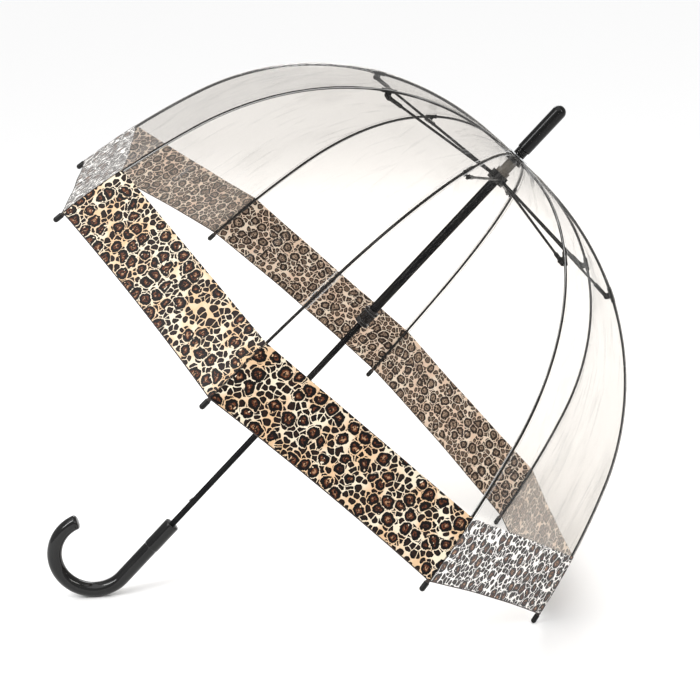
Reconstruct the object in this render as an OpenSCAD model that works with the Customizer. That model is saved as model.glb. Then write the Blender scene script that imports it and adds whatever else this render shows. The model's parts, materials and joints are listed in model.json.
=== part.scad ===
// Clear dome umbrella with a crook handle, standing open at rest: it leans on the bend of its
// handle and on two neighbouring rib tips. Millimetres, +Z up, floor at z = 0.
//
// Every sub-part is modelled in the shaft frame (shaft on the Z axis, the peak of the ribs near
// z = 0, ferrule up, crook towards -X) and lean() then stands it on the floor.

/* [Dome] */
// Radius from the shaft to the centre of a rib tip
rim_r = 440; // [380:5:500]
// Depth from the peak to the centre of a rib tip
dome_depth = 428; // [380:5:480]
// Slope of a rib above level where it leaves the hub, in degrees
root_rise = 5; // [0:1:8]
// Slope below level where a rib's tight bow meets its gentle bow, in degrees
knee_slope = 68; // [64:1:70]
// Slope below level at a rib tip, in degrees
tip_slope = 79; // [76:1:82]
// Slope below level where a rib and the film fold, in degrees
fold_slope = 43; // [38:1:48]
// Height of the printed border, along a rib
border_h = 88; // [60:1:120]
// Bare rib left below the film, up to the tip's centre
hem_gap = 12; // [10:1:20]
// Thickness of the canopy film
film_t = 0.2; // [0.1:0.1:0.6]

/* [Frame] */
// Diameter of a rib
rib_d = 3.6; // [3:0.1:4]
// Diameter of a stretcher rod
stretcher_d = 3.4; // [2.8:0.1:3.8]
// Slope below level of a rib at the sleeve that its stretcher holds, in degrees
sleeve_slope = 28; // [24:1:32]
// Length of that sleeve
sleeve_len = 20; // [14:1:26]
// Diameter of the round cap on a rib tip
cap_d = 7; // [6:0.5:9]

/* [Shaft and runner] */
// Diameter of the shaft
shaft_d = 8.6; // [8:0.1:10]
// Gap that the folded runner leaves above the handle
handle_gap = 11.7; // [4:0.1:60]
// Diameter of the runner tube
runner_d = 13; // [12.4:0.1:14]
// Depth from the peak to the lower end of the runner's grip
runner_end = 308; // [240:1:360]
// Diameter of the ferrule
ferrule_d = 18.8; // [16:0.2:22]
// Height of the ferrule's tip above the peak
ferrule_top = 85; // [60:1:110]

/* [Handle] */
// Diameter of the crook
crook_d = 20.6; // [18:0.2:24]
// Radius of the crook's bend, to its middle
crook_r = 53; // [46:1:60]
// Straight length from the handle's top to the bend
grip_len = 106; // [90:1:130]
// Turn of the bend, in degrees
crook_turn = 207; // [180:1:214]

/* [Hidden] */
$fn = 32;
ribs = 8;
pitch = 360 / ribs;
half = pitch / 2;
fit = 0.1;                  // gap between pieces fixed to each other
slide_gap = 0.3;            // gap between pieces that move past each other

// ribs: an upper arc of radius bow_r from the hub, then a gentler one of radius skirt_r
rib_r = rib_d / 2;
root_r = 10;                // the ribs turn on a wire ring of this radius in the hub
root_z = -7;
hub_r = root_r + 2;
root_slope = -root_rise;
run_r = rim_r - root_r;
run_z = dome_depth + root_z;
bow_dr = sin(knee_slope) - sin(root_slope);
bow_dz = cos(root_slope) - cos(knee_slope);
skirt_dr = sin(tip_slope) - sin(knee_slope);
skirt_dz = cos(knee_slope) - cos(tip_slope);
arc_det = bow_dr * skirt_dz - bow_dz * skirt_dr;
bow_r = (run_r * skirt_dz - run_z * skirt_dr) / arc_det;
skirt_r = (run_z * bow_dr - run_r * bow_dz) / arc_det;
bow_centre = [root_r - bow_r * sin(root_slope), root_z - bow_r * cos(root_slope)];
knee = bow_centre + bow_r * [sin(knee_slope), cos(knee_slope)];
skirt_centre = knee - skirt_r * [sin(knee_slope), cos(knee_slope)];
// point [radius, z] of the rib's middle where its slope is a, moved outwards by off
function rib_at(a, off = 0) = (a <= knee_slope ? bow_centre : skirt_centre)
    + ((a <= knee_slope ? bow_r : skirt_r) + off) * [sin(a), cos(a)];
function skirt_slope(above_tip) = tip_slope - skirt_turn(above_tip);
fold = rib_at(fold_slope);
tip = rib_at(tip_slope);
root_stub = 9;
root_grow = 0.3;            // the moulded root is this much thicker all round than the rib
eye_r = rib_r + 0.6;
eye_w = 3;
ball_r = rib_r + 0.05;      // the fold turns on a ball that ends the lower rib
knee_len = 3;
knee_grow = 0.1;
cap_len = 9;
sleeve_r = rib_r + 1;

// stretchers: each pivots on the runner's crown and meets a lug under its rib's sleeve
tube_r = runner_d / 2;
stretcher_r = stretcher_d / 2;
fork_r = stretcher_r + 1;
fork_len = 16;
fork_start = 6;
side = rib_r + fork_r + 0.7; // a stretcher runs beside its rib, this far from the rib's plane
fork_eye = fork_r + 0.9;
lug_eye = 3.2;
lug_boss = 1.6;
lug_pin = 1.3;
lug_drop = sleeve_r + fork_eye + 0.6;
lug = rib_at(sleeve_slope, -lug_drop);
knuckle_r = stretcher_r + 1.3;
knuckle_bore = 1.75;
crown_r = tube_r + knuckle_r + 0.5;
crown_out = crown_r + 2.5;
crown_z = -40;
reach = norm([lug[0] - crown_r, lug[1] - crown_z]);
stretcher_slope = atan2(lug[1] - crown_z, lug[0] - crown_r);

// folded, a rib's fold hangs fold_in from the shaft, which sets the runner's travel
fold_in = 20;
rib_chord = norm(fold - [root_r, root_z]);
chord_slope = atan2(root_z - fold[1], fold[0] - root_r);
rib_turn = acos((fold_in - root_r) / rib_chord) - chord_slope;
lug_chord = norm(lug - [root_r, root_z]);
lug_slope = atan2(root_z - lug[1], lug[0] - root_r) + rib_turn;
lug_in = root_r + lug_chord * cos(lug_slope);
lug_down = root_z - lug_chord * sin(lug_slope);
travel = crown_z - lug_down + sqrt(reach * reach - pow(lug_in - crown_r, 2));

// film: flat across between two ribs, film_off outside the ribs' middles
film_off = sleeve_r + 0.6;
film_inner = (hub_r + 0.6) / cos(half); // radius, along a rib, where the film leaves the hub
film_start = asin((film_inner - root_r) / bow_r + sin(root_slope));
band_top = skirt_slope(hem_gap + border_h);
band_end = skirt_slope(hem_gap);
film_steps = 16;
film_gap = 0.15;            // half of the gap between neighbouring sheets

// shaft, hub and runner
shaft_r = shaft_d / 2;
shaft_wall = 0.8;
shaft_bore = shaft_r - shaft_wall;
shaft_top = 40;
ferrule_base = 9;
neck_step = 1.2;
ferrule_mid = ferrule_top - ferrule_d / 2;
bore_r = shaft_r + slide_gap;
wire_r = 0.6;
root_slot = rib_d + 2 * root_grow + 2 * slide_gap;
notch_top = -2;
notch_end = -12;
washer_top = -0.6;
washer_rim = 4;
spacer_r = shaft_r + fit + 3;
spacer_end = -33;
spacer_foot = 2;            // the spacer's foot stands out this far
spacer_foot_h = 6;
crown_top = -33.5;
crown_end = -47;
crown_wire_r = norm([crown_r, side]);
crown_slot = stretcher_d + 0.8 + 2 * slide_gap;
tube_wall = 0.45;
tube_bore = tube_r - tube_wall;
bush_h = 9;
grip_h = 26;
grip_floor = 1;
grip_wall = 1.6;
grip_flange = 3.6;
flange_h = 7;
finger_r = 1.5;
latch_up = 34;              // height of the upper catch in the runner, in its own pocket
latch_z = -runner_end + latch_up;
latch_h = 9;
latch_room = 6;
nose_r = tube_bore - 0.15;
nose_chamfer = 0.6;
catch_back = 1.4;
key_w = 2.4;
catch_w = 1.6;

// handle
handle_top = runner_end + travel + handle_gap;
crook_tube = crook_d / 2;
bend = [-crook_r, -handle_top - grip_len];
grip_r = crook_tube + 0.05;
socket_r = crook_tube + 0.5;
socket_rim = 1.5;
socket_len = 44;
socket_depth = 70;
shaft_foot = 4;             // room under the shaft in its socket

// lean: the crook's bend and two rib tips touch the floor together
cap_r = cap_d / 2;
tip_x = tip[0] * cos(half);
gap_z = tip[1] - bend[1];
gap_x = tip_x - bend[0];
lean_a = acos((cap_r - crook_r - crook_tube) / norm([gap_z, gap_x])) - atan2(gap_x, gap_z);
floor_z = -tip_x * sin(lean_a) + tip[1] * cos(lean_a) - cap_r;
// the box's ends along X: the crook's bend, and the film where it stands upright
steep = atan2(cos(half) * cos(lean_a), sin(lean_a));
film_out = rib_at(steep, film_off + film_t);
x_high = film_out[0] * cos(half) * cos(lean_a) + film_out[1] * sin(lean_a);
x_low = bend[0] * cos(lean_a) + bend[1] * sin(lean_a) - crook_r - crook_tube;

module lean() translate([-(x_high + x_low) / 2, 0, -floor_z]) rotate([0, lean_a, 0]) children();
module on_rib(n) rotate([0, 0, pitch * n - half]) children();
module on_gore(n) rotate([0, 0, pitch * n]) children();

// a rod bent to a circle about centre, between two slopes, in the XZ plane
module bent_rod(centre, bow, slope_a, slope_b, r)
    translate([centre[0], 0, centre[1]]) rotate([90, 0, 0]) rotate([0, 0, 90 - slope_b])
        rotate_extrude(angle = slope_b - slope_a, $fn = 96) translate([bow, 0]) circle(r, $fn = 24);

// a disc or a pin across the XZ plane, from y0 to y1
module across(p, r, y0, y1)
    translate([p[0], y1, p[1]]) rotate([90, 0, 0]) cylinder(h = y1 - y0, r = r);

module ring(r, wire, z) translate([0, 0, z]) rotate_extrude($fn = 64) translate([r, 0]) circle(wire);

module pipe(r, bore, z0, z1) difference() {
    translate([0, 0, z0]) cylinder(h = z1 - z0, r = r);
    translate([0, 0, z0 - 1]) cylinder(h = z1 - z0 + 2, r = bore);
}

// a straight rod from point p, dist long, rising at slope degrees, in the XZ plane at y
module strut(p, dist, slope, r, y = 0, start = 0)
    translate([p[0], y, p[1]]) rotate([0, 90 - slope, 0]) translate([0, 0, start])
        cylinder(h = dist - start, r = r);

// the place on a rib where its slope is a, with X along the rib and Z outwards
module at_slope(a) translate([rib_at(a)[0], 0, rib_at(a)[1]]) rotate([0, a, 0]) children();

// ---- ribs -------------------------------------------------------------------------------
// a length along either arc as an angle
function bow_turn(len) = len / bow_r * 180 / PI;
function skirt_turn(len) = len / skirt_r * 180 / PI;

module upper_rib() {
    color("#141414") difference() {
        union() {
            bent_rod(bow_centre, bow_r, root_slope + bow_turn(root_stub / 2),
                fold_slope - bow_turn(ball_r + fit), rib_r);
            strut([root_r, root_z], root_stub, -root_slope, rib_r + root_grow);
            across([root_r, root_z], eye_r, -eye_w / 2, eye_w / 2);
        }
        across([root_r, root_z], wire_r + slide_gap, -eye_w, eye_w);
    }
    color("#1c1c1c") rib_sleeve();
}

// a straight sleeve on the rib, with a lug below it that reaches sideways to the stretcher
module rib_sleeve() at_slope(sleeve_slope) difference() {
    union() {
        rotate([0, 90, 0]) cylinder(h = sleeve_len, r = sleeve_r, center = true);
        translate([-4, fit - eye_w / 2, -lug_drop])
            cube([8, eye_w - 2 * fit, lug_drop - rib_r - 0.4]);
        across([0, -lug_drop], lug_eye, -eye_w / 2, eye_w / 2);
        across([0, -lug_drop], lug_boss, 0, side - eye_w / 2 - 2 * fit);
    }
    rotate([0, 90, 0]) cylinder(h = sleeve_len + 2, r = rib_r + 0.15, center = true);
}

module lower_rib() {
    color("#141414") {
        translate([fold[0], 0, fold[1]]) sphere(ball_r);
        bent_rod(bow_centre, bow_r, fold_slope, knee_slope - bow_turn(knee_len / 4), rib_r);
        bent_rod(skirt_centre, skirt_r, knee_slope + skirt_turn(knee_len / 4), skirt_slope(2), rib_r);
        // a short collar joins the two arcs into one piece
        at_slope(knee_slope) rotate([0, 90, 0])
            cylinder(h = knee_len, r = rib_r + knee_grow, center = true);
    }
    color("#101010") difference() {
        union() {
            translate([tip[0], 0, tip[1]]) sphere(cap_r);
            strut(tip, cap_len, 180 - tip_slope, cap_r);
        }
        strut(tip, cap_len + 4, 180 - tip_slope, rib_r + fit, start = -1);
    }
}

module stretcher() {
    knuckle = [crown_r, crown_z];
    inner = side - eye_w / 2;
    outer = side + eye_w / 2;
    color("#141414") difference() {
        union() {
            strut(knuckle, reach - fork_start, stretcher_slope, stretcher_r, side);
            across(knuckle, knuckle_r, inner, outer);
        }
        across(knuckle, knuckle_bore, inner - 1, outer + 1);
    }
    color("#1c1c1c") difference() {
        union() {
            strut(knuckle, reach - fork_start / 2, stretcher_slope, fork_r, side,
                reach - fork_start - fork_len);
            across(lug, fork_eye, inner, outer);
        }
        strut(knuckle, reach - fork_start + fit, stretcher_slope, stretcher_r + fit / 2, side,
            reach - 2 * fork_len - fork_start);
        across(lug, lug_pin + fit, inner - 1, outer + 1);
    }
    color("#303030") across(lug, lug_pin, inner, outer + 0.8);
}

// ---- canopy film ------------------------------------------------------------------------
// a sheet between two ribs: rows of [radius, z] for its inner and outer faces, level across
function sheet_rows(from, to) = [for (i = [0:film_steps]) let (a = from + (to - from) * i / film_steps)
    [rib_at(a, film_off), rib_at(a, film_off + film_t)]];
function corner(p, s) = [p[0] * cos(half), s * (p[0] * sin(half) - film_gap), p[1]];

module sheet(from, to) {
    rows = sheet_rows(from, to);
    n = len(rows);
    points = [for (row = rows) each [corner(row[0], -1), corner(row[0], 1),
        corner(row[1], 1), corner(row[1], -1)]];
    polyhedron(points, concat(
        [[0, 1, 2, 3]],
        [for (i = [0:n - 2], k = [0:3]) let (m = (k + 1) % 4)
            [4 * i + k, 4 * i + 4 + k, 4 * i + 4 + m, 4 * i + m]],
        [[4 * n - 1, 4 * n - 2, 4 * n - 3, 4 * n - 4]]));
}

module crown_gore() color([0.93, 0.93, 0.92, 0.3]) sheet(film_start, fold_slope - 0.03);
module skirt_gore() color([0.93, 0.93, 0.92, 0.3]) sheet(fold_slope + 0.03, band_top - 0.01);
module border() color("#c9a57c") sheet(band_top + 0.01, band_end);

// ---- shaft and hub ----------------------------------------------------------------------
module shaft_tube() color("#181818") difference() {
    pipe(shaft_r, shaft_bore, -handle_top - socket_depth + shaft_foot, shaft_top);
    for (z = [latch_z, latch_z - travel])
        translate([-shaft_r - 1, -catch_w / 2 - fit, z - latch_h / 2 - slide_gap])
            cube([shaft_r + 1, catch_w + 2 * fit, latch_h + 2 * slide_gap]);
}

module rib_slots(w, y, x0, z0, z1)
    for (n = [0:ribs - 1]) on_rib(n) translate([x0, y - w / 2, z0]) cube([hub_r, w, z1 - z0]);

module top_notch() {
    color("#101010") difference() {
        pipe(hub_r, shaft_r + fit, notch_end, notch_top);
        rib_slots(root_slot, 0, root_r - eye_r - slide_gap, notch_end - 1,
            root_z + eye_r + slide_gap);
        ring(root_r, wire_r + fit, root_z);
    }
    color("#8a8a8a") ring(root_r, wire_r, root_z);
}

module stop_spacer() color("#59544c") {
    pipe(spacer_r, shaft_r + fit, spacer_end, notch_end - fit);
    pipe(spacer_r + spacer_foot, spacer_r, spacer_end, spacer_end + spacer_foot_h);
}

module canopy_washer() color([0.85, 0.86, 0.88, 0.5])
    pipe(hub_r + washer_rim, shaft_r + fit, notch_top + fit, washer_top);

module ferrule() color("#0c0c0c") difference() {
    union() {
        translate([0, 0, ferrule_base]) cylinder(h = ferrule_mid - ferrule_base, r = ferrule_d / 2);
        translate([0, 0, ferrule_mid]) sphere(ferrule_d / 2);
        translate([0, 0, washer_top + fit])
            cylinder(h = ferrule_base + 2, r = ferrule_d / 2 - neck_step);
    }
    translate([0, 0, -1]) cylinder(h = shaft_top + 1 + fit, r = shaft_r + fit);
}

// ---- runner -----------------------------------------------------------------------------
module runner_crown() {
    color("#121212") difference() {
        pipe(crown_out, tube_r + fit, crown_end, crown_top);
        rib_slots(crown_slot, side, crown_r - knuckle_r - slide_gap, crown_z - knuckle_r - slide_gap,
            crown_top + 1);
        ring(crown_wire_r, wire_r + fit, crown_z);
    }
    color("#8a8a8a") ring(crown_wire_r, wire_r, crown_z);
}

module keyway(z0, z1) translate([-hub_r, -key_w / 2, z0]) cube([hub_r, key_w, z1 - z0]);

module runner_tube() color("#141414") pipe(tube_r, tube_bore, grip_floor - runner_end, crown_top);

// guide rings inside the tube, and between them the pocket that the catches spring into
module runner_bushes() color("#2a2a2a") {
    difference() {
        pipe(tube_bore - fit, bore_r, crown_end + 4, crown_top - 1);
        keyway(crown_end, crown_top);
    }
    difference() {
        pipe(tube_bore - fit, bore_r, latch_z - latch_h / 2 - latch_room,
            latch_z + latch_h / 2 + latch_room);
        keyway(latch_z - latch_h / 2 - slide_gap, latch_z + latch_h / 2 + slide_gap);
    }
    pipe(tube_bore - fit, bore_r, grip_floor - runner_end, grip_floor - runner_end + bush_h);
}

module runner_grip() color("#0e0e0e") difference() {
    translate([0, 0, -runner_end]) union() {
        cylinder(h = grip_h, r = tube_r + grip_wall);
        for (z = [0, grip_h - flange_h]) translate([0, 0, z])
            cylinder(h = flange_h, r = tube_r + grip_flange);
        for (n = [0:5]) rotate([0, 0, 60 * n]) translate([tube_r + grip_wall, 0, flange_h - 1])
            cylinder(h = grip_h - 2 * flange_h + 2, r = finger_r);
    }
    translate([0, 0, -runner_end - 1]) cylinder(h = grip_floor + 2, r = bore_r);
    translate([0, 0, grip_floor - runner_end]) cylinder(h = grip_h, r = tube_r + fit);
}

// a spring catch in a slot of the shaft, its nose sloping towards the ferrule
module spring_catch(z) color("#2c2c2c") translate([0, catch_w / 2, z]) rotate([90, 0, 0])
    linear_extrude(catch_w) polygon([[catch_back, -latch_h / 2], [-nose_r + 0.3, -latch_h / 2],
        [-nose_r, -latch_h / 2 + nose_chamfer], [-shaft_r + 0.4, latch_h / 2],
        [catch_back, latch_h / 2]]);

// ---- handle -----------------------------------------------------------------------------
module handle_crook() color("#0b0b0b") difference() {
    union() {
        translate([0, 0, bend[1]]) cylinder(h = grip_len, r = grip_r);
        translate([0, 0, -handle_top - socket_len]) cylinder(h = socket_len - socket_rim, r = socket_r);
        translate([0, 0, -handle_top - socket_rim])
            cylinder(h = socket_rim, r1 = socket_r, r2 = socket_r - socket_rim);
        translate([bend[0], 0, bend[1]]) rotate([90, 0, 0]) rotate([0, 0, -crook_turn])
            rotate_extrude(angle = crook_turn, $fn = 96) translate([crook_r, 0]) circle(crook_tube);
    }
    translate([0, 0, -handle_top - socket_depth]) cylinder(h = socket_depth + 1, r = shaft_r + fit);
}

// ---- nodes ------------------------------------------------------------------------------
rib_names = [for (n = [1:ribs]) str("upper_rib_", n)];
lower_names = [for (n = [1:ribs]) str("lower_rib_", n)];
stretcher_names = [for (n = [1:ribs]) str("stretcher_", n)];
crown_gore_names = [for (n = [1:ribs]) str("crown_gore_", n)];
skirt_gore_names = [for (n = [1:ribs]) str("skirt_gore_", n)];
border_names = [for (n = [1:ribs]) str("border_", n)];

lean() shaft_tube();
lean() top_notch();
lean() stop_spacer();
lean() canopy_washer();
lean() ferrule();
lean() handle_crook();
lean() runner_crown();
lean() runner_tube();
lean() runner_bushes();
lean() runner_grip();
lean() spring_catch(latch_z);  // upper_catch
lean() spring_catch(latch_z - travel);  // lower_catch
for (n = [0:ribs - 1]) {
    lean() on_rib(n) upper_rib();
    lean() on_rib(n) lower_rib();
    lean() on_rib(n) stretcher();
    lean() on_gore(n) crown_gore();
    lean() on_gore(n) skirt_gore();
    lean() on_gore(n) border();
}
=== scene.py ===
"""Looks for a clear dome umbrella that stands open on its crook and two rib tips.

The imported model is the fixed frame. Each sub-assembly below is a class that builds its meshes as
computed surfaces and dresses them. Lengths are in metres. Shapes are worked out in the shaft's own
axes, with the shaft along +Z and the ribs' peak near the origin, and then placed in the frame.
"""
import json
import logging
import math
from dataclasses import dataclass
from enum import Enum

import bpy
import numpy as np
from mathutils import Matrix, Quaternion, Vector


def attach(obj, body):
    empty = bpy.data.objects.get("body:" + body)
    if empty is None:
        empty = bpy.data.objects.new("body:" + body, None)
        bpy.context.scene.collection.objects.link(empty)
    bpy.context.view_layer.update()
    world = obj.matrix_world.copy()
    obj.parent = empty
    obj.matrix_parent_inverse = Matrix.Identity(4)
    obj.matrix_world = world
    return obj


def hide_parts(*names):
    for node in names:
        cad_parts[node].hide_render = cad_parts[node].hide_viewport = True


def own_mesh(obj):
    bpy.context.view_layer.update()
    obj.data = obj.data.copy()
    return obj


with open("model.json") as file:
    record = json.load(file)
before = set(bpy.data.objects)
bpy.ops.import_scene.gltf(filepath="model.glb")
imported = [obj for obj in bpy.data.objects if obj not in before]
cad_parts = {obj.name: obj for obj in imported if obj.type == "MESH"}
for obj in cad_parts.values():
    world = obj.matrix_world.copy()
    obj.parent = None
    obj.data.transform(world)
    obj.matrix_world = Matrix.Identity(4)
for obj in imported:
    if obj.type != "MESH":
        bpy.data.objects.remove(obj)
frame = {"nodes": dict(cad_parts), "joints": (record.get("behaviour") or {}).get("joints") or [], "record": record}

log = logging.getLogger("umbrella")

MM = 0.001
GORES = 8
HALF = math.pi / GORES
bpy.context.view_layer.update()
DRIVER = "runner_slide"


# ---- shapes -----------------------------------------------------------------------------


@dataclass(frozen=True)
class ShaftAxes:
    """The shaft's own axes in the frame: an origin at the ribs' peak and three unit vectors."""

    origin: np.ndarray
    x: np.ndarray
    y: np.ndarray
    z: np.ndarray

    @classmethod
    def from_joints(cls, joints: list, root_z: float) -> "ShaftAxes":
        """Finds the axes from the runner's slide and the ribs' hinges.

        Args:
            joints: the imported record's joints.
            root_z: how far the ribs' hinges lie above the peak.

        Returns:
            The axes, with x on the side away from the crook.
        """
        slide = next(j for j in joints if j["name"] == DRIVER)
        hinges = [j["pos_m"] for j in joints if j["name"].startswith("rib_hinge")]
        z = -np.array(slide["axis"], float)
        y = np.array([0.0, 1.0, 0.0])
        return cls(np.mean(hinges, axis=0) - root_z * z, np.cross(y, z), y, z)

    def place(self, points: np.ndarray) -> np.ndarray:
        """Turns points in the shaft's axes into points in the frame."""
        return points @ np.stack([self.x, self.y, self.z]) + self.origin


@dataclass(frozen=True)
class DomeProfile:
    """A rib's line, in the plane of the rib: a tight bow from the hub, then a gentler one."""

    rim_r: float = 440 * MM
    depth: float = 428 * MM
    root_r: float = 10 * MM
    root_z: float = -7 * MM
    root_slope: float = -5.0
    knee_slope: float = 68.0
    tip_slope: float = 79.0
    fold_slope: float = 43.0
    film_inner: float = 13.6 * MM
    border_h: float = 88 * MM
    hem_gap: float = 12 * MM

    def radii(self) -> tuple[float, float]:
        """The two bows' radii, from the two steps that the rib has to cover."""
        root, knee, tip = np.radians([self.root_slope, self.knee_slope, self.tip_slope])
        steps = np.array([[math.sin(knee) - math.sin(root), math.sin(tip) - math.sin(knee)],
                          [math.cos(root) - math.cos(knee), math.cos(knee) - math.cos(tip)]])
        bow, skirt = np.linalg.solve(steps, [self.rim_r - self.root_r, self.depth + self.root_z])
        return float(bow), float(skirt)

    def at(self, slope: np.ndarray, off: np.ndarray | float = 0.0) -> np.ndarray:
        """Points (radius, height) where the rib has a slope, moved outwards.

        Each bow is a circle: its centre plus its radius times (sin slope, cos slope).

        Args:
            slope: slopes below level, in degrees.
            off: distance outwards from the rib's middle, one for all or one for each slope.

        Returns:
            An array of shape (n, 2).
        """
        slope = np.atleast_1d(np.asarray(slope, float))
        off = np.broadcast_to(off, slope.shape)[:, None]
        bow, skirt = self.radii()
        root, knee = np.radians([self.root_slope, self.knee_slope])
        middle = np.array([self.root_r, self.root_z]) - bow * np.array([math.sin(root), math.cos(root)])
        lower = middle + (bow - skirt) * np.array([math.sin(knee), math.cos(knee)])
        turn = np.stack([np.sin(np.radians(slope)), np.cos(np.radians(slope))], axis=1)
        on_bow = (slope <= self.knee_slope)[:, None]
        return np.where(on_bow, middle + (bow + off) * turn, lower + (skirt + off) * turn)

    def above_tip(self, length: float) -> float:
        """The slope at a length along the rib above its tip."""
        return self.tip_slope - math.degrees(length / self.radii()[1])

    def film_start(self) -> float:
        """The slope where the film leaves the hub."""
        bow = self.radii()[0]
        step = (self.film_inner - self.root_r) / bow
        return math.degrees(math.asin(step + math.sin(math.radians(self.root_slope))))


def grid_faces(rows: int, cols: int, wrap: bool) -> np.ndarray:
    """Quads of a grid of points, numbered row by row.

    Args:
        rows: number of rows of points.
        cols: number of points in a row.
        wrap: True if each row closes on itself.

    Returns:
        An array of shape (n, 4), wound the same way throughout.
    """
    i = np.arange(rows - 1)[:, None]
    j = np.arange(cols if wrap else cols - 1)[None, :]
    k = (j + 1) % cols
    corners = [i * cols + j, i * cols + k, (i + 1) * cols + k, (i + 1) * cols + j]
    return np.stack([np.broadcast_to(c, (rows - 1, j.shape[1])) for c in corners], axis=-1).reshape(-1, 4)


def make_object(name: str, points: np.ndarray, faces: list) -> bpy.types.Object:
    """Puts points and faces into a smooth-shaded object at the origin."""
    mesh = bpy.data.meshes.new(name)
    mesh.from_pydata(points.tolist(), [], faces)
    mesh.shade_smooth()
    mesh.update()
    piece = bpy.data.objects.new(name, mesh)
    bpy.context.scene.collection.objects.link(piece)
    return piece


def closed_tube(name: str, rings: np.ndarray) -> bpy.types.Object:
    """A solid from rings of points, closed at both ends by a fan to the end ring's middle.

    Args:
        name: the piece's name.
        rings: points of shape (rows, sides, 3), in the frame.

    Returns:
        The object, with its faces pointing outwards.
    """
    rows, sides, _ = rings.shape
    ends = np.stack([rings[0].mean(0), rings[-1].mean(0)])
    around = np.arange(sides)
    onward = (around + 1) % sides
    last = (rows - 1) * sides
    first_fan = np.stack([np.full(sides, rows * sides), onward, around], axis=1)
    last_fan = np.stack([np.full(sides, rows * sides + 1), last + around, last + onward], axis=1)
    faces = grid_faces(rows, sides, True).tolist() + first_fan.tolist() + last_fan.tolist()
    piece = make_object(name, np.concatenate([rings.reshape(-1, 3), ends]), faces)
    if signed_volume(piece.data) < 0:
        piece.data.flip_normals()
    return piece


def signed_volume(mesh: bpy.types.Mesh) -> float:
    """A closed mesh's volume, below zero if its faces point inwards: the sum of a . (b x c) / 6."""
    mesh.calc_loop_triangles()
    points = np.zeros(len(mesh.vertices) * 3, np.float32)
    corners = np.zeros(len(mesh.loop_triangles) * 3, np.int32)
    mesh.vertices.foreach_get("co", points)
    mesh.loop_triangles.foreach_get("vertices", corners)
    a, b, c = np.moveaxis(points.reshape(-1, 3)[corners.reshape(-1, 3)], 1, 0)
    return float((a * np.cross(b, c)).sum() / 6)


def lathe(profile: np.ndarray, sides: int, lobes: np.ndarray | None = None) -> np.ndarray:
    """Rings of a turned shape about the shaft: each profile point swept round the axis.

    Args:
        profile: points (radius, height).
        sides: points round each ring.
        lobes: radius added at each point and angle, of shape (rows, sides), or None.

    Returns:
        An array of shape (rows, sides, 3) in the shaft's axes.
    """
    angle = np.arange(sides) * 2 * np.pi / sides
    radius = np.repeat(profile[:, :1], sides, axis=1) + (0 if lobes is None else lobes)
    height = np.repeat(profile[:, 1:], sides, axis=1)
    return np.stack([radius * np.cos(angle), radius * np.sin(angle), height], axis=-1)


def sweep(path: np.ndarray, side: np.ndarray, radius: np.ndarray, sides: int) -> np.ndarray:
    """Rings round a path that lies in one plane.

    A ring's points are the path's point plus radius times (cos of the angle along side, plus sin
    of the angle along the cross product of the path's direction and side).

    Args:
        path: points of shape (n, 3).
        side: unit vector square to the path's plane.
        radius: one radius for each point.
        sides: points round each ring.

    Returns:
        An array of shape (n, sides, 3).
    """
    ahead = np.gradient(path, axis=0)
    ahead /= np.linalg.norm(ahead, axis=1, keepdims=True)
    up = np.cross(ahead, side)
    angle = np.arange(sides) * 2 * np.pi / sides
    turn = np.cos(angle)[None, :, None] * side + np.sin(angle)[None, :, None] * up[:, None, :]
    return path[:, None, :] + radius[:, None, None] * turn


def rounded(start: tuple, end: tuple, centre: tuple, steps: int) -> np.ndarray:
    """Points on a quarter round from start to end, each given as (radius, height).

    A point is centre + (start - centre) cos t + (end - centre) sin t, for t from 0 to 90 degrees.
    """
    t = np.linspace(0, np.pi / 2, steps)[:, None]
    middle = np.array(centre)
    return middle + (np.array(start) - middle) * np.cos(t) + (np.array(end) - middle) * np.sin(t)


# ---- shader maths -----------------------------------------------------------------------


class Value:
    """A node's output, on which arithmetic adds Math nodes."""

    def __init__(self, graph: "Graph", socket: bpy.types.NodeSocket) -> None:
        """Wraps a socket of a graph."""
        self.graph, self.socket = graph, socket

    def _math(self, operation: str, *values: "Value | float") -> "Value":
        """Adds a Math node on the given values."""
        return self.graph.node("ShaderNodeMath", {"operation": operation}, dict(enumerate(values)))

    def __add__(self, other: "Value | float") -> "Value":
        """Sum."""
        return self._math("ADD", self, other)

    def __sub__(self, other: "Value | float") -> "Value":
        """Difference."""
        return self._math("SUBTRACT", self, other)

    def __rsub__(self, other: float) -> "Value":
        """Difference from a number."""
        return self._math("SUBTRACT", other, self)

    def __mul__(self, other: "Value | float") -> "Value":
        """Product."""
        return self._math("MULTIPLY", self, other)

    def __truediv__(self, other: "Value | float") -> "Value":
        """Quotient."""
        return self._math("DIVIDE", self, other)

    def __pow__(self, power: float) -> "Value":
        """Power."""
        return self._math("POWER", self, power)

    def __gt__(self, other: "Value | float") -> "Value":
        """1 where this is greater, else 0."""
        return self._math("GREATER_THAN", self, other)

    def __lt__(self, other: "Value | float") -> "Value":
        """1 where this is less, else 0."""
        return self._math("LESS_THAN", self, other)

    __radd__ = __add__
    __rmul__ = __mul__

    def least(self, other: "Value | float") -> "Value":
        """The lesser of two values."""
        return self._math("MINIMUM", self, other)

    def most(self, other: "Value | float") -> "Value":
        """The greater of two values."""
        return self._math("MAXIMUM", self, other)

    def rise(self, low: float, high: float) -> "Value":
        """A smooth step from 0 at low to 1 at high; high may be the lesser, for a fall."""
        ranged = {"From Min": low, "From Max": high, "To Min": 0.0, "To Max": 1.0}
        settings = {"interpolation_type": "SMOOTHSTEP"}
        return self.graph.node("ShaderNodeMapRange", settings, {"Value": self, **ranged}, "Result")


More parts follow.
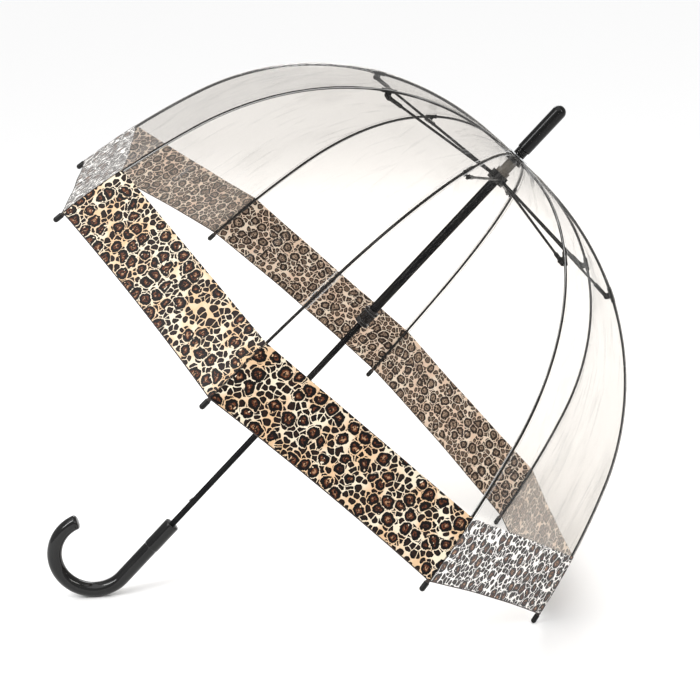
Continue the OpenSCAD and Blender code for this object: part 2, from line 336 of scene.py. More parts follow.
class Graph:
    """One material's nodes."""

    def __init__(self, name: str) -> None:
        """Makes an empty material."""
        self.material = bpy.data.materials.new(name)
        self.material.use_nodes = True
        self.tree = self.material.node_tree
        self.tree.nodes.clear()

    def node(self, kind: str, settings: dict, values: dict, output: str | int = 0) -> Value:
        """Adds a node.

        Args:
            kind: the node's type.
            settings: the node's own settings, which are made first.
            values: numbers, colours or Values for its inputs, by name or index.
            output: the output to wrap, by name or index.

        Returns:
            The wrapped output.
        """
        made = self.tree.nodes.new(kind)
        for key, setting in settings.items():
            setattr(made, key, setting)
        for key, value in values.items():
            if isinstance(value, Value):
                self.tree.links.new(value.socket, made.inputs[key])
            else:
                made.inputs[key].default_value = value
        return Value(self, made.outputs[output])

    def place(self) -> Value:
        """The piece's own coordinates, in metres."""
        return self.node("ShaderNodeTexCoord", {}, {}, "Object")

    def attribute(self, name: str) -> Value:
        """A vector stored on the piece's points."""
        return self.node("ShaderNodeAttribute", {"attribute_name": name}, {}, "Vector")

    def split(self, vector: Value, axis: int) -> Value:
        """One number of a vector."""
        return self.node("ShaderNodeSeparateXYZ", {}, {0: vector}, axis)

    def scaled(self, vector: Value, factors: tuple) -> Value:
        """A vector with each number multiplied."""
        return self.node("ShaderNodeVectorMath", {"operation": "MULTIPLY"}, {0: vector, 1: factors})

    def noise(self, vector: Value, scale: float, detail: float = 2.0, output: str = "Fac") -> Value:
        """Soft noise with features about 1 / scale metres across."""
        values = {"Vector": vector, "Scale": scale, "Detail": detail}
        return self.node("ShaderNodeTexNoise", {}, values, output)

    def mix(self, share: Value | float, low: Value | tuple, high: Value | tuple) -> Value:
        """A colour between two, by share."""
        colours = {0: share, 6: four(low), 7: four(high)}
        return self.node("ShaderNodeMix", {"data_type": "RGBA"}, colours, 2)

    def facing(self, blend: float = 0.5) -> Value:
        """0 where the surface is seen face on, rising to 1 where it is seen at a slant."""
        return self.node("ShaderNodeLayerWeight", {}, {"Blend": blend}, "Facing")

    def bump(self, height: Value, distance: float, strength: float = 1.0) -> Value:
        """A normal that follows a height, in metres times distance."""
        values = {"Height": height, "Distance": distance, "Strength": strength}
        return self.node("ShaderNodeBump", {}, values)

    def skin(self, values: dict) -> Value:
        """A Principled surface with the given inputs."""
        return self.node("ShaderNodeBsdfPrincipled", {}, values)

    def finish(self, surface: Value) -> bpy.types.Material:
        """Makes a surface the material's output."""
        output = self.tree.nodes.new("ShaderNodeOutputMaterial")
        self.tree.links.new(surface.socket, output.inputs["Surface"])
        return self.material


def four(colour: "Value | tuple") -> "Value | tuple":
    """A colour with an alpha of 1, or a Value as it is."""
    return colour if isinstance(colour, Value) else (*colour, 1.0)


# ---- finishes ---------------------------------------------------------------------------


CLOTH = "cloth"


class Side(Enum):
    """Which face of the printed film is seen."""

    OUTER = "outer"
    INNER = "inner"


@dataclass(frozen=True)
class Gloss:
    """A hard black finish, with faint mottling, handling marks and a clear shine."""

    name: str
    colour: tuple = (0.008, 0.008, 0.009)
    shade: tuple = (0.014, 0.013, 0.013)
    roughness: float = 0.12
    spread: float = 0.10
    grain: float = 320.0
    relief: float = 0.00003
    metallic: float = 0.0
    specular: float = 0.45

    def make(self) -> bpy.types.Material:
        """Builds the material: fine noise for the grain, long noise for wear."""
        graph = Graph(self.name)
        place = graph.place()
        grain = graph.noise(place, self.grain, 3.0)
        wear = graph.noise(place, self.grain / 12, 4.0)
        colour = graph.mix(wear.rise(0.35, 0.7), self.colour, self.shade)
        roughness = self.roughness + self.spread * wear.rise(0.42, 0.72) + 0.04 * grain
        return graph.finish(graph.skin({
            "Base Color": colour, "Roughness": roughness, "Metallic": self.metallic,
            "Specular IOR Level": self.specular, "Normal": graph.bump(grain, self.relief)}))


@dataclass(frozen=True)
class ClearFilm:
    """Clear soft film: nearly invisible face on, greyer at a slant, with doubled welded seams.

    haze, slant, creases, clouds, gather, seam and weld each say how much of the film's surface shows
    there; the rest is seen through. Over a rib the film is drawn tight and shows less.
    """

    name: str = "clear_film"
    tint: tuple = (0.978, 0.968, 0.955, 1.0)
    body: tuple = (0.16, 0.16, 0.16)
    streak: tuple = (0.62, 0.62, 0.61)
    haze: float = 0.008
    slant: float = 0.21
    creases: float = 0.30
    clouds: float = 0.10
    gather: float = 0.80
    gather_len: float = 150 * MM
    over_rib: float = 1.9 * MM
    tight: float = 0.7
    seam: float = 0.04
    seam_w: float = 5.5 * MM
    weld: float = 0.30
    weld_at: float = 3.6 * MM
    weld_w: float = 0.5 * MM
    relief: float = 0.0012

    def make(self) -> bpy.types.Material:
        """Builds the film as a see-through surface mixed with a glossy skin."""
        graph = Graph(self.name)
        cloth = graph.attribute(CLOTH)
        edge, along = graph.split(cloth, 2), graph.split(cloth, 1)
        streaks = graph.noise(graph.scaled(cloth, (1.0, 0.10, 0.0)), 90.0, 3.0)
        pleats = graph.noise(graph.scaled(cloth, (1.0, 0.06, 0.0)), 150.0, 2.0)
        cloud = graph.noise(graph.scaled(cloth, (1.0, 0.5, 0.0)), 14.0, 3.0)
        facing = graph.facing()
        seam = edge.rise(self.seam_w + 0.4 * MM, self.seam_w)
        off_weld = graph.node("ShaderNodeMath", {"operation": "ABSOLUTE"}, {0: edge - self.weld_at})
        weld = off_weld.rise(self.weld_w + 0.3 * MM, self.weld_w)
        by_hub = along.rise(self.gather_len, 0.0)
        gathers = pleats.rise(0.50, 0.68) * by_hub
        lines = streaks.rise(0.56, 0.80)
        share = self.haze + self.slant * facing ** 3.0 + self.creases * lines * facing
        share = share + self.clouds * cloud.rise(0.5, 0.75) * facing + self.seam * seam + self.weld * weld
        share = share + self.gather * gathers * (0.25 + facing)
        share = share * (1.0 - self.tight * edge.rise(self.over_rib + 1.0 * MM, self.over_rib))
        lumps = 0.6 * streaks + 0.4 * cloud + pleats * by_hub
        skin = graph.skin({
            "Base Color": graph.mix(lines.most(weld), self.body, self.streak),
            "Roughness": 0.05 + 0.10 * cloud.rise(0.4, 0.8), "IOR": 1.5,
            "Normal": graph.bump(lumps, self.relief)})
        clear = graph.node("ShaderNodeBsdfTransparent", {}, {"Color": self.tint})
        return graph.finish(graph.node("ShaderNodeMixShader", {}, {0: share.least(0.92), 1: clear, 2: skin}))


@dataclass(frozen=True)
class SpottedPrint:
    """A big-cat print: dark broken rings round rust centres, with small dark spots between.

    Two layers of cells cover the film. A cell of the large layer holds one ring, whose outline is
    the lesser of the distance to the cell's edge and a size less the distance to its middle. The
    small layer fills what the rings leave with spots made the same way. Sizes within a layer are
    shares of its cell. At a slant a pale painted sheen, standing in for the film's reflection, is
    mixed into the colour: over the ground and faintly over all of it on the outer face, and
    strongly over all of it on the inner face.
    """

    side: Side
    ring_pitch: float = 17.5 * MM
    spot_pitch: float = 8.6 * MM
    empty: float = 0.30
    ring_size: float = 0.38
    ring_more: float = 0.16
    ring_margin: float = 0.028
    spot_size: float = 0.42
    spot_more: float = 0.26
    spot_margin: float = 0.060
    ring_ragged: float = 0.16
    spot_ragged: float = 0.14
    relief: float = 0.0010
    # The next three set a pale painted sheen, a reflection painted into the colour at a slant: its share on the
    # inner face, its share on the outer face, and its colour.
    inner_painted_sheen_share: float = 0.70
    painted_sheen_share: float = 0.12
    painted_sheen_colour: tuple = (0.93, 0.90, 0.86)

    @property
    def inks(self) -> dict:
        """The colours of one face: the outer is crisp, the inner is the same ink through film."""
        if self.side is Side.OUTER:
            return {"ground": (0.66, 0.45, 0.27), "pale": (0.76, 0.66, 0.51), "dark": (0.004, 0.003, 0.003),
                    "rust": (0.115, 0.034, 0.014), "umber": (0.016, 0.007, 0.005),
                    "heart": (0.36, 0.20, 0.11)}
        return {"ground": (0.66, 0.50, 0.38), "pale": (0.74, 0.63, 0.51), "dark": (0.022, 0.014, 0.010),
                "rust": (0.25, 0.17, 0.12), "umber": (0.13, 0.085, 0.060), "heart": (0.40, 0.29, 0.20)}

    def cells(self, graph: Graph, at: Value, pitch: float, randomness: float) -> tuple[Value, Value, Value]:
        """One layer of cells.

        Args:
            graph: the material's nodes.
            at: where on the film, in metres.
            pitch: the cells' size.
            randomness: 0 for a square grid, 1 for the loosest.

        Returns:
            The distance to the cell's middle and to its edge, in cells, and a random colour.
        """
        inputs = {"Vector": at, "Scale": 1 / pitch, "Randomness": randomness}
        near = {"voronoi_dimensions": "2D", "feature": "F1"}
        rim = {"voronoi_dimensions": "2D", "feature": "DISTANCE_TO_EDGE"}
        return (graph.node("ShaderNodeTexVoronoi", near, inputs, "Distance"),
                graph.node("ShaderNodeTexVoronoi", rim, inputs, "Distance"),
                graph.node("ShaderNodeTexVoronoi", near, inputs, "Color"))

    def make(self) -> bpy.types.Material:
        """Builds the print, with a pale painted sheen over it at a slant."""
        graph = Graph(f"spotted_print_{self.side.value}")
        cloth = graph.attribute(CLOTH)
        edge = graph.split(cloth, 2)
        drift = graph.noise(cloth, 70.0, 1.0, "Color")
        warp = graph.node("ShaderNodeVectorMath", {"operation": "MULTIPLY_ADD"},
                          {0: drift, 1: (0.007, 0.007, 0.0), 2: cloth})
        rough = graph.noise(cloth, 330.0, 1.5)
        blotch = graph.noise(cloth, 150.0, 1.0)
        wide = graph.noise(cloth, 28.0, 2.0)
        inside, rim, colour = self.cells(graph, warp, self.ring_pitch, 0.72)
        chance, spare = graph.split(colour, 0), graph.split(colour, 1)
        ring_on = chance > self.empty
        ring_size = self.ring_size + self.ring_more * spare
        shape = (rim - self.ring_margin).least(ring_size - inside) + self.ring_ragged * (rough - 0.5)
        band = 0.15 + 0.12 * blotch
        gap = (blotch > 0.70) * (shape < band)
        whole = (shape > 0.0) * ring_on * (1.0 - gap)
        centre = (shape > band) * whole
        heart = (shape > band + 0.10) * whole
        near, brim, tone = self.cells(graph, warp, self.spot_pitch, 1.0)
        spot_size = self.spot_size + self.spot_more * graph.split(tone, 0)
        dot = (brim - self.spot_margin).least(spot_size - near) + self.spot_ragged * (rough - 0.5)
        free = 1.0 - (shape > -0.065) * ring_on
        spot = (dot > 0.0) * free
        spot_centre = (dot > 0.20) * free
        inks = self.inks
        ground = graph.mix(wide.rise(0.38, 0.62), inks["ground"], inks["pale"])
        rust = graph.mix(rough.rise(0.35, 0.60), inks["umber"], inks["rust"])
        middle = graph.mix(rough.rise(0.50, 0.56), inks["dark"], inks["heart"])
        facing = graph.facing()
        if self.side is Side.OUTER:
            # On the outer face the ground turns to the pale painted sheen at a slant, standing in for reflection.
            ground = graph.mix(facing.rise(0.22, 0.60), ground, self.painted_sheen_colour)
        paint = graph.mix(whole.most(spot), ground, inks["dark"])
        paint = graph.mix(centre, paint, rust)
        paint = graph.mix(heart, paint, middle)
        paint = graph.mix(spot_centre, paint, inks["umber"])
        seam = edge.rise(1.8 * MM, 0.9 * MM)
        paint = graph.mix(seam * 0.75, paint, inks["dark"])
        # Both faces are mixed towards the pale painted sheen at a slant, a painted reflection; the inner face gets
        # the most.
        painted_sheen_share = self.painted_sheen_share if self.side is Side.OUTER else self.inner_painted_sheen_share
        paint = graph.mix(painted_sheen_share * facing ** 2.5, paint, self.painted_sheen_colour)
        crease = graph.noise(graph.scaled(cloth, (1.0, 0.25, 0.0)), 60.0, 3.0)
        return graph.finish(graph.skin({
            "Base Color": paint, "Roughness": 0.32 + 0.12 * crease, "Specular IOR Level": 0.14,
            "Normal": graph.bump(0.7 * crease + 0.3 * seam, self.relief)}))


@dataclass(frozen=True)
class FrostedClear:
    """Clear moulded plastic: a see-through body with a bright, slightly uneven skin."""

    name: str = "clear_moulding"

    def make(self) -> bpy.types.Material:
        """Builds the moulding as a see-through surface mixed with a glossy skin."""
        graph = Graph(self.name)
        facing = graph.facing(0.4)
        flow = graph.noise(graph.place(), 180.0, 2.0)
        skin = graph.skin({"Base Color": graph.mix(flow, (0.62, 0.64, 0.66), (0.80, 0.81, 0.82)),
                           "Roughness": 0.08 + 0.06 * flow, "Normal": graph.bump(flow, 0.0002)})
        clear = graph.node("ShaderNodeBsdfTransparent", {}, {"Color": (0.93, 0.935, 0.94, 1.0)})
        share = 0.18 + 0.55 * facing ** 2.0
        return graph.finish(graph.node("ShaderNodeMixShader", {}, {0: share, 1: clear, 2: skin}))


class Finishes:
    """Every finish, built once."""

    def __init__(self) -> None:
        """Builds the materials, by the record's slots and by the pieces' own names."""
        self.by_slot = {
            "shaft_black": Gloss("enamelled_steel", (0.005, 0.005, 0.006), (0.010, 0.010, 0.010),
                                 roughness=0.16, spread=0.08, grain=700.0, specular=0.08).make(),
            "hub_black": Gloss("satin_moulding", (0.012, 0.012, 0.012), (0.022, 0.021, 0.020),
                               roughness=0.34, spread=0.12, relief=0.00006).make(),
            "spacer_grey": Gloss("grey_moulding", (0.090, 0.078, 0.063), (0.125, 0.110, 0.092),
                                 roughness=0.42, spread=0.12, relief=0.00006).make(),
            "washer_clear": FrostedClear().make(),
            "ferrule_black": Gloss("polished_ferrule", (0.004, 0.004, 0.004), (0.007, 0.007, 0.007),
                                   roughness=0.07, spread=0.06, grain=220.0, relief=0.00001,
                                   specular=0.20).make(),
            "handle_black": Gloss("polished_handle", (0.005, 0.005, 0.005), (0.009, 0.009, 0.009),
                                  roughness=0.08, spread=0.08, grain=160.0, relief=0.00002,
                                  specular=0.38).make(),
            "grip_black": Gloss("moulded_grip", (0.007, 0.007, 0.008), (0.016, 0.016, 0.017),
                                roughness=0.15, spread=0.12, grain=420.0, relief=0.00005).make(),
            "catch_steel": Gloss("blued_steel", (0.10, 0.10, 0.105), (0.20, 0.20, 0.21),
                                 roughness=0.30, spread=0.15, grain=900.0, relief=0.00002,
                                 metallic=1.0).make(),
            "rib_black": Gloss("glass_fibre", (0.004, 0.004, 0.004), (0.010, 0.010, 0.010),
                               roughness=0.26, spread=0.14, grain=900.0, relief=0.00002,
                               specular=0.22).make(),
            "film_clear": ClearFilm().make(),
            "film_printed": SpottedPrint(Side.OUTER).make(),
        }
        self.print_inside = SpottedPrint(Side.INNER).make()
        self.thread = Gloss("hem_thread", (0.012, 0.009, 0.008), (0.05, 0.035, 0.028),
                            roughness=0.55, spread=0.2, grain=1500.0, relief=0.0002).make()

    def dress_cad(self) -> None:
        """Gives each shown CAD node the finish of its slot in the record."""
        for row in frame["record"]["subparts"]:
            node = frame["nodes"][row["node"]]
            if not node.hide_render:
                node.data.materials.clear()
                node.data.materials.append(self.by_slot[row["material_slot"]])

    def dress(self, piece: bpy.types.Object, slot: str) -> None:
        """Gives a new piece a slot's finish."""
        piece.data.materials.append(self.by_slot[slot])


# ---- sub-assemblies ---------------------------------------------------------------------


@dataclass
class Canopy:
    """Eight gores of clear film with a printed border, stretched over the ribs."""

    axes: ShaftAxes
    dome: DomeProfile
    finishes: Finishes
    film_off: float = 2.45 * MM
    sleeve_off: float = 1.0 * MM
    sleeve_slope: float = 28.0
    sleeve_bell: float = 4.5
    film_t: float = 0.25 * MM
    edge_gap: float = 0.05 * MM
    sag: float = 5.0 * MM
    ripple: float = 0.55 * MM
    waves: tuple = ((3.1, 2.0), (5.7, -3.0), (8.3, 6.0), (2.2, 9.0))
    gather: float = 1.1 * MM
    gather_len: float = 70 * MM
    gathers: int = 7
    hem_lift: float = 3.0 * MM
    hem_r: float = 0.75 * MM
    columns: int = 41
    rows: tuple = (30, 44, 22)
    furled: float = 0.07
    seed: int = 11

    def off(self, slopes: np.ndarray) -> np.ndarray:
        """How far the film lies outside the ribs' middles: more, as a bell, over the ribs' sleeves."""
        bell = np.exp(-((slopes - self.sleeve_slope) / self.sleeve_bell) ** 2)
        return self.film_off + self.sleeve_off * bell

    def slopes(self) -> list:
        """Row slopes for the crown, the skirt and the border; neighbours share a row."""
        dome = self.dome
        band_top = dome.above_tip(dome.hem_gap + dome.border_h)
        stops = [dome.film_start(), dome.fold_slope, band_top, dome.above_tip(dome.hem_gap)]
        return [np.linspace(a, b, n) for a, b, n in zip(stops, stops[1:], self.rows)]

    def surface(self, gore: int, slopes: np.ndarray) -> tuple[np.ndarray, np.ndarray]:
        """Points of one gore's film and their places on the cloth.

        Across a gore the film runs straight from rib to rib. It then moves inwards along its normal
        by a sag times 1 - t squared, by a few long sine ripples, and near the hub by gathers that
        die away down the gore; all are nothing at the ribs. The hem lifts by 1 - t squared too.

        Args:
            gore: the gore's number, from 1.
            slopes: the slope at each row.

        Returns:
            Points of shape (rows, columns, 3) in the frame, and vectors (across, along, distance
            from the seam) of the same shape, in metres.
        """
        dome = self.dome
        across = np.linspace(-1, 1, self.columns)
        start, end = dome.film_start(), dome.above_tip(dome.hem_gap)
        fine = np.linspace(start, end, 400)
        steps = np.linalg.norm(np.diff(dome.at(fine, self.off(fine)), axis=0), axis=1)
        along = np.interp(slopes, fine, np.concatenate([[0], np.cumsum(steps)]))[:, None]
        total = steps.sum()
        line = dome.at(slopes, self.off(slopes))
        lean = np.radians(slopes)[:, None]
        belly = 1 - across[None, :] ** 2
        share = along / total
        random = np.random.default_rng(self.seed + gore)
        waves = sum(random.uniform(0.5, 1) * np.sin(f * across[None, :] + g * share + random.uniform(0, 6.3))
                    for f, g in self.waves)
        pleats = np.cos(self.gathers * np.pi * across[None, :] + random.uniform(0, 6.3))
        fade = np.exp(-along / self.gather_len) * np.clip(share * 30, 0, 1)
        inwards = belly * (self.sag * np.sin(np.pi * np.clip(share, 0, 1)) ** 0.8
                           + self.ripple * waves * np.clip(share * 4, 0, 1) + self.gather * pleats * fade)
        lift = self.hem_lift * belly * np.clip((share - 0.8) / 0.2, 0, 1) ** 2
        radius = line[:, :1] * math.cos(HALF) - inwards * np.sin(lean) - lift * np.cos(lean)
        height = line[:, 1:] - inwards * np.cos(lean) + lift * np.sin(lean)
        width = line[:, :1] * math.sin(HALF) - self.edge_gap
        sideways = width * across[None, :]
        turn = 2 * HALF * (gore - 1)
        points = np.stack([radius * math.cos(turn) - sideways * math.sin(turn),
                           radius * math.sin(turn) + sideways * math.cos(turn), height], axis=-1)
        seam = width - np.abs(sideways)
        cloth = np.stack([sideways + 0.731 * gore, along + 0 * sideways, seam], axis=-1)
        return self.axes.place(points), cloth

    def tangent(self, gore: int) -> np.ndarray:
        """The direction across a gore, in the frame."""
        turn = 2 * HALF * (gore - 1)
        return -math.sin(turn) * self.axes.x + math.cos(turn) * self.axes.y

    def film(self, name: str, points: np.ndarray, cloth: np.ndarray) -> bpy.types.Object:
        """A sheet from a grid of points, given its thickness, with its cut edges kept sharp."""
        rows, columns, _ = points.shape
        piece = make_object(name, points.reshape(-1, 3), grid_faces(rows, columns, False).tolist())
        mesh = piece.data
        outwards = points.reshape(-1, 3).mean(0) - self.axes.place(np.array([0, 0, -0.25]))
        if np.dot(np.array(mesh.polygons[len(mesh.polygons) // 2].normal), outwards) < 0:
            mesh.flip_normals()
        stored = mesh.attributes.new(CLOTH, "FLOAT_VECTOR", "POINT")
        stored.data.foreach_set("vector", cloth.reshape(-1).astype(np.float32))
        ends = np.zeros(len(mesh.edges) * 2, np.int32)
        mesh.edges.foreach_get("vertices", ends)
        row, column = np.divmod(ends.reshape(-1, 2), columns)
        cut = ((row == 0).all(1) | (row == rows - 1).all(1)
               | (column == 0).all(1) | (column == columns - 1).all(1))
        sharp = mesh.attributes.new("sharp_edge", "BOOLEAN", "EDGE")
        sharp.data.foreach_set("value", cut)
        wall = piece.modifiers.new("wall", "SOLIDIFY")
        wall.thickness = self.film_t
        wall.offset = 0
        return piece

    def declare(self, points: np.ndarray) -> None:
        """Works out the sheet's width at each row and its middle column; neither is kept."""
        width = np.linalg.norm(points[:, 0] - points[:, -1], axis=1)
        middle = points[:, self.columns // 2]

    def furl(self, piece: bpy.types.Object, body: str) -> None:
        """Lets a piece ride on its body, with a mesh of its own."""
        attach(piece, body)
        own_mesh(piece)

    def hem(self, gore: int, border: np.ndarray) -> bpy.types.Object:
        """A thin rolled edge along the border's hem: a small round swept along the last row."""
        line = border[-1]
        side = np.cross(self.tangent(gore), border[-1, self.columns // 2] - border[-2, self.columns // 2])
        rings = sweep(line, side / np.linalg.norm(side), np.full(len(line), self.hem_r), 8)
        return closed_tube(f"hem_roll_{gore}", rings)

    def build(self) -> None:
        """Builds and dresses every gore."""
        for gore in range(1, GORES + 1):
            made = [self.surface(gore, slopes) for slopes in self.slopes()]
            crown = self.film(f"crown_film_{gore}", *made[0])
            skirt = self.film(f"skirt_film_{gore}", *made[1])
            border = self.film(f"printed_border_{gore}", *made[2])
            hem = self.hem(gore, made[2][0])
            self.finishes.dress(crown, "film_clear")
            self.finishes.dress(skirt, "film_clear")
            self.finishes.dress(border, "film_printed")
            border.data.materials.append(self.finishes.print_inside)
            border.modifiers["wall"].material_offset = 1
            hem.data.materials.append(self.finishes.thread)
            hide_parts(f"crown_gore_{gore}")
            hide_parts(f"skirt_gore_{gore}")
            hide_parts(f"border_{gore}")
            self.furl(crown, f"gore_top_{gore}")
            for piece in (skirt, border, hem):
                self.furl(piece, f"gore_skirt_{gore}")
            self.declare(made[0][0])
            self.declare(made[1][0])
            self.declare(made[2][0])
            log.info("gore %d: film from the hub to the hem, with its rolled edge", gore)


@dataclass
class RibTips:
    """The small bindings that hold each corner of the canopy to its rib's cap."""

    axes: ShaftAxes
    dome: DomeProfile
    finishes: Finishes
    top_gap: float = 14.5 * MM
    cap_gap: float = 8.6 * MM
    top_r: float = 2.1 * MM
    cap_r: float = 3.1 * MM
    steps: int = 9
    sides: int = 20

    def build(self) -> None:
        """Builds one binding for each rib: a sleeve swept along the rib that widens to the cap."""
        for rib in range(1, GORES + 1):
            turn = 2 * HALF * (rib - 1) - HALF
            lengths = np.linspace(self.top_gap, self.cap_gap, self.steps)
            line = self.dome.at(np.array([self.dome.above_tip(gap) for gap in lengths]))
            path = np.stack([line[:, 0] * math.cos(turn), line[:, 0] * math.sin(turn), line[:, 1]], axis=1)
            share = np.linspace(0, 1, self.steps)
            radius = self.top_r + (self.cap_r - self.top_r) * share ** 1.5
            side = np.array([-math.sin(turn), math.cos(turn), 0.0])
            tie = closed_tube(f"corner_tie_{rib}", self.axes.place(sweep(path, side, radius, self.sides)))
            tie.data.materials.append(self.finishes.thread)
            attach(tie, f"rib_end_{rib}")
        log.info("corner ties: %d", GORES)


@dataclass
class Ferrule:
    """The long glossy ferrule above the canopy: a turned shape with a round end."""

    axes: ShaftAxes
    finishes: Finishes
    radius: float = 9.4 * MM
    neck_r: float = 8.2 * MM
    foot_z: float = -0.5 * MM
    shoulder_z: float = 9 * MM
    dome_z: float = 75.6 * MM
    soft: float = 0.9 * MM
    foot_r: float = 0.2 * MM
    tip_r: float = 0.05 * MM
    sides: int = 96

    def build(self) -> None:
        """Builds the profile from the foot to the tip and turns it about the shaft."""
        r, soft = self.radius, self.soft
        straight = np.linspace(self.shoulder_z + 3 * MM, self.dome_z - 1 * MM, 12)
        profile = np.concatenate([
            [[self.foot_r, self.foot_z], [self.neck_r - soft, self.foot_z]],
            rounded((self.neck_r - soft, self.foot_z), (self.neck_r, self.foot_z + soft),
                    (self.neck_r - soft, self.foot_z + soft), 5),
            rounded((self.neck_r, self.shoulder_z - soft), (self.neck_r + 0.5 * soft, self.shoulder_z),
                    (self.neck_r + 0.5 * soft, self.shoulder_z - soft), 4),
            rounded((r - 0.7 * soft, self.shoulder_z), (r, self.shoulder_z + 0.7 * soft),
                    (r - 0.7 * soft, self.shoulder_z + 0.7 * soft), 5),
            np.stack([np.full(len(straight), r), straight], axis=1),
            rounded((r, self.dome_z), (self.tip_r, self.dome_z + r - 0.01 * MM), (0, self.dome_z), 24)])
        piece = closed_tube("ferrule_shell", self.axes.place(lathe(profile, self.sides)))
        self.finishes.dress(piece, "ferrule_black")
        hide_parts("ferrule")
        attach(piece, "shaft")
        log.info("ferrule: %.0f mm long", (self.dome_z + r - self.foot_z) / MM)


@dataclass
class Handle:
    """The glossy crook: a straight grip with a socket for the shaft, and a bend with a blunt end."""

    axes: ShaftAxes
    finishes: Finishes
    top_z: float = -692 * MM
    tube_r: float = 10.3 * MM
    bend_r: float = 53 * MM
    grip_len: float = 106 * MM
    bend_turn: float = 207.0
    socket_len: float = 44 * MM
    socket_out: float = 0.5 * MM
    step_len: float = 1.2 * MM
    lip: float = 1.6 * MM
    end_round: float = 4.5 * MM
    end_in: float = 4.774 * MM
    sides: int = 72

    def path(self) -> tuple[np.ndarray, np.ndarray]:
        """The crook's line: straight down from the socket, then a circle towards the crook's side.

        Returns:
            Points (x, 0, z) in the shaft's axes, and the radius at each.
        """
        bend = math.radians(self.bend_turn)
        total = self.grip_len + self.bend_r * bend
        step, step_end = self.socket_len, self.socket_len + self.step_len
        stops = [np.linspace(0, self.lip, 7), np.linspace(self.lip, step, 16)[1:],
                 np.linspace(step, step_end, 6)[1:], np.linspace(step_end, self.grip_len, 18)[1:],
                 np.linspace(self.grip_len, total - self.end_round, 110)[1:],
                 total - self.end_round * np.cos(np.linspace(0, np.pi / 2, 16))[1:]]
        along = np.concatenate(stops)
        past = np.clip(along - self.grip_len, 0, None) / self.bend_r
        x = -self.bend_r + self.bend_r * np.cos(past)
        z = self.top_z - np.minimum(along, self.grip_len) - self.bend_r * np.sin(past)
        return np.stack([x, 0 * x, z], axis=1), self.radius_at(along, total)

    def radius_at(self, along: np.ndarray, total: float) -> np.ndarray:
        """The radius along the line: a rounded lip, the socket, a soft step, and a rounded end.

        The lip and the end are quarter rounds: their radius falls as 1 - sqrt(1 - s squared).
        """
        lip = np.clip(1 - along / self.lip, 0, 1)
        step = np.clip((along - self.socket_len) / self.step_len, 0, 1)
        end = np.clip(1 - (total - along) / self.end_round, 0, 1)
        socket = self.socket_out * (1 - step * step * (3 - 2 * step))
        lip_fall = self.lip * (1 - np.sqrt(1 - lip ** 2))
        end_fall = self.end_in * (1 - np.sqrt(1 - end ** 2))
        return self.tube_r + socket - lip_fall - end_fall

    def build(self) -> None:
        """Sweeps the crook and gives its blunt end a shallow dome."""
        path, radius = self.path()
        rings = sweep(path, np.array([0.0, 1.0, 0.0]), radius, self.sides)
        piece = closed_tube("crook_shell", self.axes.place(rings))
        self.finishes.dress(piece, "handle_black")
        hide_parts("handle_crook")
        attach(piece, "shaft")
        log.info("crook: bend of %.0f mm radius through %.0f degrees", self.bend_r / MM, self.bend_turn)


@dataclass
class FingerGrip:
    """The runner's short bulky grip: two round flanges with a lobed waist between them."""

    axes: ShaftAxes
    finishes: Finishes
    low_z: float = -308 * MM
    height: float = 26 * MM
    core_r: float = 6.7 * MM
    waist_r: float = 8.6 * MM
    flange_r: float = 10.0 * MM
    flange_h: float = 7 * MM
    slope_h: float = 2.4 * MM
    edge_round: float = 1.8 * MM
    edge_step: float = 0.3 * MM
    lobes: int = 6
    lobe_h: float = 0.9 * MM
    sides: int = 96

    def build(self) -> None:
        """Builds the waisted profile, rounded at its ends, with lobes that fade at the flanges.

        The radius is the waist's plus the flanges' share of a smooth step; each lobe adds the
        cosine of its angle, times a bell along the height.
        """
        share = np.linspace(0, 1, 60)
        height = share * self.height
        from_end = np.minimum(height, self.height - height)
        step = np.clip((from_end - (self.flange_h - self.slope_h)) / self.slope_h, 0, 1)
        radius = self.flange_r + (self.waist_r - self.flange_r) * step * step * (3 - 2 * step)
        soft = np.clip(1 - from_end / self.edge_round, 0, 1)
        radius = radius - self.edge_round * (1 - np.sqrt(1 - soft ** 2))
        bottom = [self.core_r, self.low_z + self.edge_step]
        top = [self.core_r, self.low_z + self.height - self.edge_step]
        profile = np.concatenate([[bottom], np.stack([radius, self.low_z + height], axis=1), [top]])
        angle = np.arange(self.sides) * 2 * np.pi / self.sides
        bell = np.concatenate([[0], step, [0]])
        lobes = self.lobe_h * bell[:, None] * np.cos(self.lobes * angle)[None, :]
        piece = closed_tube("finger_grip", self.axes.place(lathe(profile, self.sides, lobes)))
        self.finishes.dress(piece, "grip_black")
        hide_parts("runner_grip")
        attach(piece, "runner")
        log.info("finger grip: %.0f mm high", self.height / MM)


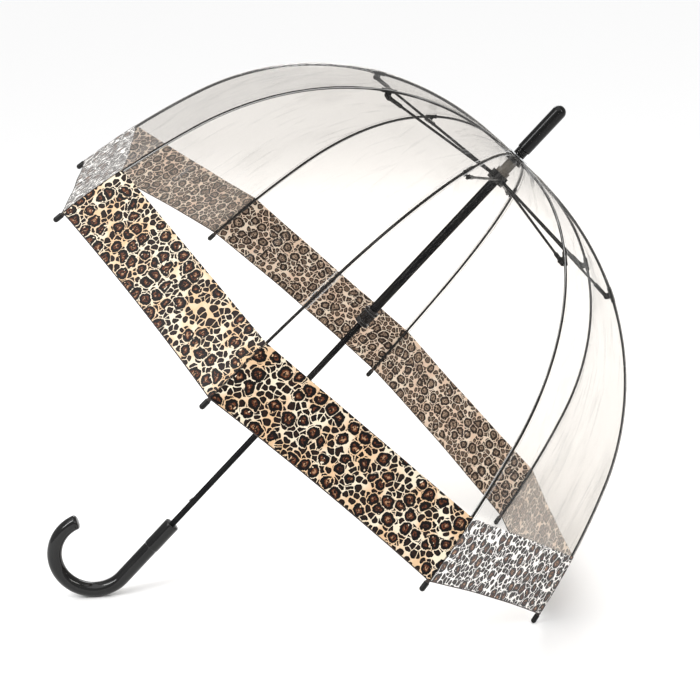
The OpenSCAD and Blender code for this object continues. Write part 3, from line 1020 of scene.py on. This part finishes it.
@dataclass
class Studio:
    """A pale floor, a soft studio and the camera."""

    eye: tuple = (-0.0867, -2.2314, 1.0249)
    target: tuple = (0.0361, -0.0358, 0.3497)
    roll: float = -2.16
    lens: float = 89.03
    floor_half: float = 24.0
    sky: float = 0.55
    sun: float = 1.55
    sun_width: float = 70.0
    sun_turn: tuple = (18.0, -14.0, 0.0)

    def camera(self) -> None:
        """Places the camera at the eye, turned to the target and rolled about its own axis."""
        data = bpy.data.cameras.new("camera")
        data.lens = self.lens
        data.sensor_width = 36.0
        data.clip_end = 100.0
        camera = bpy.data.objects.new("camera", data)
        bpy.context.scene.collection.objects.link(camera)
        ahead = Vector(self.target) - Vector(self.eye)
        camera.location = self.eye
        camera.rotation_mode = "QUATERNION"
        roll = Quaternion((0, 0, 1), math.radians(self.roll))
        camera.rotation_quaternion = ahead.to_track_quat("-Z", "Y") @ roll
        bpy.context.scene.camera = camera

    def floor(self) -> None:
        """A wide matt floor at the height that the umbrella stands on."""
        half = self.floor_half
        corners = np.array([[-half, -half, 0], [half, -half, 0], [half, half, 0], [-half, half, 0]])
        floor = make_object("floor", corners, [[0, 1, 2, 3]])
        graph = Graph("floor_paper")
        paper = graph.skin({"Base Color": (0.96, 0.96, 0.96, 1.0), "Roughness": 0.9,
                            "Specular IOR Level": 0.1})
        floor.data.materials.append(graph.finish(paper))

    def lamp(self, name: str, at: tuple, size: tuple, power: float) -> None:
        """A soft box that faces the umbrella."""
        data = bpy.data.lights.new(name, "AREA")
        data.shape = "RECTANGLE"
        data.size, data.size_y = size
        data.energy = power
        lamp = bpy.data.objects.new(name, data)
        bpy.context.scene.collection.objects.link(lamp)
        lamp.location = at
        lamp.rotation_mode = "QUATERNION"
        lamp.rotation_quaternion = (Vector((0, 0, 0.3)) - Vector(at)).to_track_quat("-Z", "Y")

    def light(self) -> None:
        """A white backdrop that lights less than it shows, a broad sun and soft boxes for the gloss."""
        world = bpy.data.worlds.new("studio")
        world.use_nodes = True
        nodes, links = world.node_tree.nodes, world.node_tree.links
        sky, path = nodes["Background"], nodes.new("ShaderNodeLightPath")
        strength = nodes.new("ShaderNodeMapRange")
        sky.inputs["Color"].default_value = (1, 1, 1, 1)
        strength.inputs["To Min"].default_value = self.sky
        links.new(path.outputs["Is Camera Ray"], strength.inputs["Value"])
        links.new(strength.outputs["Result"], sky.inputs["Strength"])
        bpy.context.scene.world = world
        data = bpy.data.lights.new("sky", "SUN")
        data.energy = self.sun
        data.angle = math.radians(self.sun_width)
        sun = bpy.data.objects.new("sky", data)
        bpy.context.scene.collection.objects.link(sun)
        sun.rotation_euler = [math.radians(turn) for turn in self.sun_turn]
        self.lamp("left_box", (-2.0, -1.4, 1.9), (0.35, 1.8), 34)
        self.lamp("right_box", (1.9, -1.7, 2.1), (0.35, 1.6), 26)
        self.lamp("rear_box", (0.3, 2.3, 1.8), (1.6, 0.5), 24)
        bpy.context.scene.view_settings.view_transform = "Standard"

    def build(self) -> None:
        """Builds the camera, the floor and the lights."""
        self.camera()
        self.floor()
        self.light()
        log.info("studio: camera with a %.0f mm lens", self.lens)


def main() -> None:
    """Builds the studio and every sub-assembly, in order."""
    logging.basicConfig(level=logging.INFO, format="%(name)s: %(message)s")
    dome = DomeProfile()
    axes = ShaftAxes.from_joints(frame["joints"], dome.root_z)
    Studio().build()
    finishes = Finishes()
    Canopy(axes, dome, finishes).build()
    RibTips(axes, dome, finishes).build()
    Ferrule(axes, finishes).build()
    Handle(axes, finishes).build()
    FingerGrip(axes, finishes).build()
    finishes.dress_cad()


if __name__ == "__main__":
    main()
